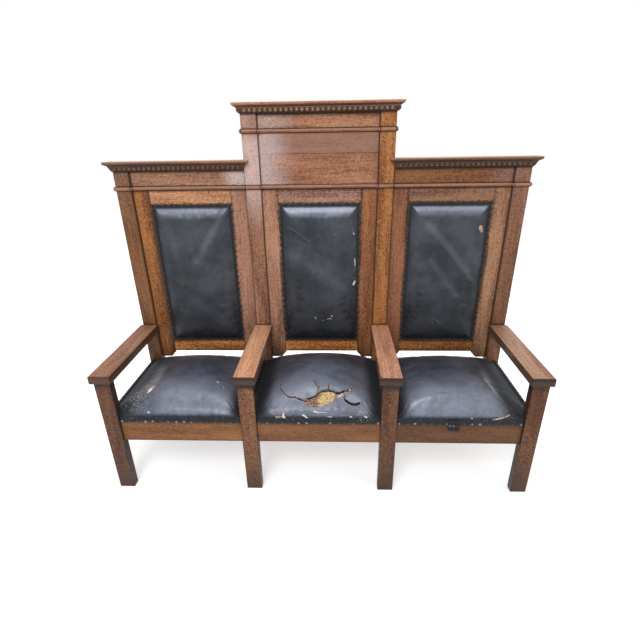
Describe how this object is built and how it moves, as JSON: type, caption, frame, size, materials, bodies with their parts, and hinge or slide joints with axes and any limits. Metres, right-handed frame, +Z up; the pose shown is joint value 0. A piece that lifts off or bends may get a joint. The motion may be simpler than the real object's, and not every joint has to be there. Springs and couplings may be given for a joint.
{
  "type": "hall bench",
  "caption": "Tall-backed oak hall bench with seats parted by flat arms, nailed leather seats and back pads, a raised centre and moulded cornices.",
  "frame": {"origin": "on the floor, in the middle of the bench's width and depth", "axes": "+X along the bench's length, to a viewer's right; -Y towards the sitter's front; +Z up"},
  "size_m": [2.116, 0.621, 1.788],
  "materials": {
    "oak": "worn varnish over stained oak",
    "leather": "worn charcoal leather, cracked, with a soft shine",
    "stuffing": "matted fibre",
    "webbing": "woven jute",
    "nail": "darkened upholstery nails"
  },
  "bodies": {
    "root": {"arm_left_end": "oak", "arm_left_inner": "oak", "arm_right_end": "oak", "arm_right_inner": "oak", "back_bottom_rail_centre": "oak", "back_bottom_rail_left": "oak", "back_bottom_rail_right": "oak", "back_pad_leather_centre": "leather", "back_pad_leather_left": "leather", "back_pad_leather_right": "leather", "back_pad_stuffing": "stuffing", "back_post_left_end": "oak", "back_post_left_inner": "oak", "back_post_right_end": "oak", "back_post_right_inner": "oak", "back_seat_rail_centre": "oak", "back_seat_rail_left": "oak", "back_seat_rail_right": "oak", "back_stile_centre_left": "oak", "back_stile_centre_right": "oak", "back_stile_left_inner": "oak", "back_stile_left_outer": "oak", "back_stile_right_inner": "oak", "back_stile_right_outer": "oak", "back_top_rail_centre": "oak", "back_top_rail_left": "oak", "back_top_rail_right": "oak", "bead_mouldings": "oak", "carved_mouldings": "oak", "centre_field_boards": "oak", "corner_blocks": "oak", "cornice_cap_centre": "oak", "cornice_cap_left": "oak", "cornice_cap_right": "oak", "frieze_board_centre": "oak", "frieze_board_left": "oak", "frieze_board_right": "oak", "front_leg_left_end": "oak", "front_leg_left_inner": "oak", "front_leg_right_end": "oak", "front_leg_right_inner": "oak", "front_rail_centre": "oak", "front_rail_left": "oak", "front_rail_right": "oak", "leather_tab": "leather", "pad_board_centre": "oak", "pad_board_left": "oak", "pad_board_right": "oak", "post_collars": "oak", "seat_leather_centre": "leather", "seat_leather_left": "leather", "seat_leather_right": "leather", "seat_stuffing_centre": "stuffing", "seat_stuffing_left": "stuffing", "seat_stuffing_right": "stuffing", "seat_webbing": "webbing", "side_rail_left_end": "oak", "side_rail_left_inner": "oak", "side_rail_right_end": "oak", "side_rail_right_inner": "oak"}
  },
  "joints": []
}
